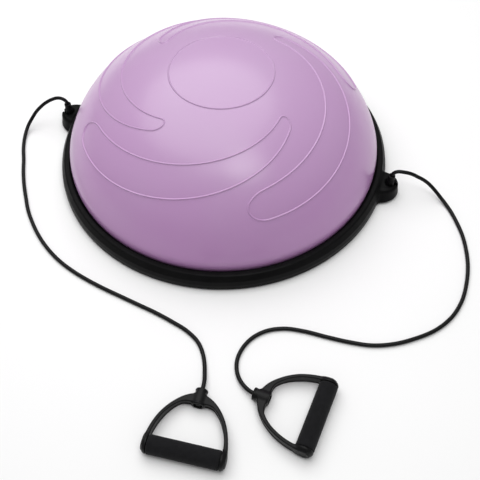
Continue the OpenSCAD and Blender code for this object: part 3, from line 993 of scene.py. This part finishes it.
def make_platform():
    dressed("deck", "base_plastic")
    dressed("clamp_screws", "screw_steel", 0.0002)
    dressed("valve_seat", "valve_rubber")
    dressed("valve_plug", "valve_plastic", 0.0005)
    make_foot("centre_foot", 0.035)
    for k in range(1, 9):
        make_foot(f"foot_{k}", 0.016)


# ---------- handles ----------

# The hub: a barrel with a collar at each end, bored for the tube and its end stop
HUB_R = 0.0095
BARREL_R = 0.009
HUB_L = 0.025
HUB_RIM = 0.003
END_POCKET_R = 0.0066
END_POCKET_X = 0.014
# The bow, from its apex at the hub to the grip
REACH = 0.097
BOW_CENTRE = REACH - 0.002
BOW_APEX = 0.0076
BOW_IN_APEX = 0.018
BOW_BULGE = 1.85
BOW_W = 0.0595
ARM_T = 0.0065
BOW_H = 0.0175
BOW_CELL = 0.0009
# The web beside the barrel is lower than the arms
WEB_X = 0.0235
WEB_H = 0.0125
WEB_END_X = 0.026
ARM_FULL_X = 0.052
# The channel along the strip's faces
CHANNEL_EDGE = 0.002
CHANNEL_RAMP = 0.0018
CHANNEL_DEEP = 0.0009
# The eyes at the grip's ends, the grip, its core and its caps
EYE_IN = 0.0525
GRIP_R = 0.014
GRIP_HALF = 0.052
CAP_R = 0.010
CORE_R = 0.00905
FOAM_UNEVEN = 0.006


def oval_distance(x, y, a, b, bulge):
    """Distance from an oval of half sizes a and b: an ellipse if bulge is 2, and pointed if it is less."""
    u, v = np.abs(x / a), np.abs(y / b)
    size = np.maximum((u ** bulge + v ** bulge) ** (1 / bulge), 1e-9)
    slope = np.hypot((u / size) ** (bulge - 1) / a, (v / size) ** (bulge - 1) / b)
    return (size - 1) / np.maximum(slope, 1e-9)


def hub_field(x, from_hub):
    """Distance from the hub's barrel and its two collars."""
    barrel = smooth_max(from_hub - BARREL_R, slab(x, 0, HUB_L), 0.0015)
    rims = slab(np.abs(x - HUB_L / 2), HUB_L / 2 - HUB_RIM, HUB_L / 2)
    return smooth_min(barrel, smooth_max(from_hub - HUB_R, rims, 0.0018), 0.001)


def bow_field(p):
    """Distance from a whole handle frame: the strip, an eye at each end of the grip, and the hub."""
    x, y, z = p.T
    along = np.minimum(x - BOW_CENTRE, 0)
    outer = oval_distance(along, y, BOW_CENTRE - BOW_APEX, BOW_W, BOW_BULGE)
    inner = oval_distance(along, y, BOW_CENTRE - BOW_IN_APEX, BOW_W - ARM_T, 2)
    opening = smooth_max(inner, WEB_X - x, 0.004)
    band = smooth_max(np.maximum(outer, x - REACH - 0.004), -opening, 0.001)
    half = np.interp(x, (WEB_END_X, ARM_FULL_X), (WEB_H / 2, BOW_H / 2))
    channel = np.clip((half - CHANNEL_EDGE - np.abs(z)) / CHANNEL_RAMP, 0, 1)
    band = band + CHANNEL_DEEP * channel * channel * (3 - 2 * channel)
    strip = smooth_max(band, np.abs(z) - half, 0.0024)

    from_grip = np.hypot(x - REACH, z)
    eye = smooth_max(from_grip - GRIP_R, np.abs(y) - BOW_W, 0.0075)
    eye = smooth_max(eye, EYE_IN - np.abs(y), 0.0015)
    bow = smooth_min(strip, eye, 0.004)
    bow = cut(bow, np.maximum(from_grip - GRIP_R - 0.0004, np.abs(y) - EYE_IN + 0.0001), 0.0006)
    bow = cut(bow, from_grip - CORE_R, 0.0006)

    from_hub = np.hypot(y, z)
    bow = smooth_min(bow, hub_field(x, from_hub), 0.0035)
    bow = cut(bow, from_hub - TUBE_R - 0.0004, 0.001)
    return cut(bow, np.maximum(from_hub - END_POCKET_R, END_POCKET_X - x), 0.001)


def make_bows():
    axes = (np.arange(-0.002, REACH + GRIP_R + 0.002, BOW_CELL),
            np.arange(-0.0612, 0.0613, BOW_CELL), np.arange(-0.0162, 0.0163, BOW_CELL))
    points, faces, normals = surface_net(bow_field, axes)
    for side in SIDES:
        matrix = handle_matrix(side)
        turned = np.asarray(normals) @ np.array(matrix.to_3x3()).T
        add_piece(side + "_bow_frame", placed(matrix, points), faces, "handle_plastic",
                  side + "_handle", [side + "_bow"], turned)


def make_grip(side):
    """Foam sleeve on the core, very slightly uneven along its length."""
    stations = np.linspace(-GRIP_HALF + 0.0022, GRIP_HALF - 0.0022, 90)
    ends = [(CORE_R + 0.0003, -GRIP_HALF), (GRIP_R - 0.0022, -GRIP_HALF),
            (GRIP_R - 0.0007, -GRIP_HALF + 0.0006)]
    profile = ends + [(GRIP_R, y) for y in stations] + [(r, -y) for r, y in ends[::-1]]
    points, faces = lathe(profile, 96, closed=True)
    azimuth = np.arctan2(points[:, 1], points[:, 0])
    wave = (np.sin(points[:, 2] * 190 + 2 * azimuth) + np.sin(points[:, 2] * 420 - 3 * azimuth + 1.3)
            + np.sin(points[:, 2] * 90 + azimuth * 5 + 0.4)) / 3
    points[:, :2] *= (1 - FOAM_UNEVEN * (1 + wave))[:, None]
    stand = Matrix.Translation((REACH, 0, 0)) @ Matrix.Rotation(-math.pi / 2, 4, "X")
    points = placed(handle_matrix(side) @ stand, points)
    grip = add_piece(side + "_foam_sleeve", points, faces, "grip_foam", side + "_grip",
                     [side + "_foam_grip"])


def make_cap(side, letter, way):
    """Cap with a rounded rim and a sunk middle; way is -1 or 1 for the grip's two ends."""
    outline = [(0.0062, -0.010), (0.0062, 0), (CAP_R, 0, 0.0002), (CAP_R - 0.0003, 0.0005, 0.0004),
               (CAP_R - 0.0018, 0.0009, 0.001), (0.0056, 0.0009, 0.0004), (0.005, 0.0004, 0.0004),
               (0, 0.0004)]
    points, faces = lathe(rounded(outline, 0.0006, 5), 72)
    stand = Matrix.Translation((REACH, way * BOW_W, 0)) @ Matrix.Rotation(-math.pi / 2 * way, 4, "X")
    points = placed(handle_matrix(side) @ stand, points)
    add_piece(f"{side}_end_cap_{letter}", points, faces, "cap_plastic", side + "_handle",
              [f"{side}_grip_cap_{letter}"])


def make_handles():
    make_bows()
    for side in SIDES:
        make_grip(side)
        make_cap(side, "a", -1)
        make_cap(side, "b", 1)
        dressed(side + "_grip_core", "core_plastic", 0.0002)


# ---------- floor and light ----------

FLOOR_HALF = 6.0
WORLD_LIGHT = 0.36


def make_floor():
    mesh = bpy.data.meshes.new("floor")
    far = FLOOR_HALF
    corners = [(-far, -far, 0), (far, -far, 0), (far, far, 0), (-far, far, 0)]
    mesh.from_pydata(corners, [], [(0, 1, 2, 3)])
    s = Surface("floor_look", Specular_IOR_Level=0.1)
    s.colour(s.noise(0.8, 2), (0.88, 0.88, 0.88), (0.9, 0.9, 0.9))
    s.rough(s.noise(0.4, 2), 0.85, 0.9)
    mesh.materials.append(s.material)
    floor = bpy.data.objects.new("floor", mesh)
    bpy.context.scene.collection.objects.link(floor)


def make_light(name, at, aim, size, power, depth=None):
    """A round softbox, or one as wide as its size and as deep as its depth."""
    data = bpy.data.lights.new(name, "AREA")
    data.shape = "ELLIPSE" if depth else "DISK"
    data.size = size
    data.size_y = depth or size
    data.energy = power
    lamp = bpy.data.objects.new(name, data)
    bpy.context.scene.collection.objects.link(lamp)
    lamp.location = at
    lamp.rotation_mode = "QUATERNION"
    lamp.rotation_quaternion = (Vector(aim) - Vector(at)).to_track_quat("-Z", "Y")


def make_stage():
    scene = bpy.context.scene
    scene.view_settings.view_transform = "Standard"
    world = bpy.data.worlds.new("studio")
    world.use_nodes = True
    background = world.node_tree.nodes["Background"]
    background.inputs["Color"].default_value = (1, 1, 1, 1)
    background.inputs["Strength"].default_value = WORLD_LIGHT
    scene.world = world
    make_floor()
    dome_front = (0.04, -0.16, 0.16)
    make_light("top softbox", (-0.3, 0.65, 2.05), (0, 0, 0.1), size=2.9, power=47)
    make_light("front softbox", (0.5, -0.86, 2.14), dome_front, size=0.95, power=8)
    make_light("front strip", (0, -0.9, 2.14), dome_front, size=1.5, power=2.8, depth=0.3)


# ---------- the scene ----------

make_camera()
for each in SIDES:
    make_tube(each, [make_sleeve(each), make_stopper(each), make_end_plug(each)])
make_dome()
make_ring()
make_platform()
make_handles()
make_stage()
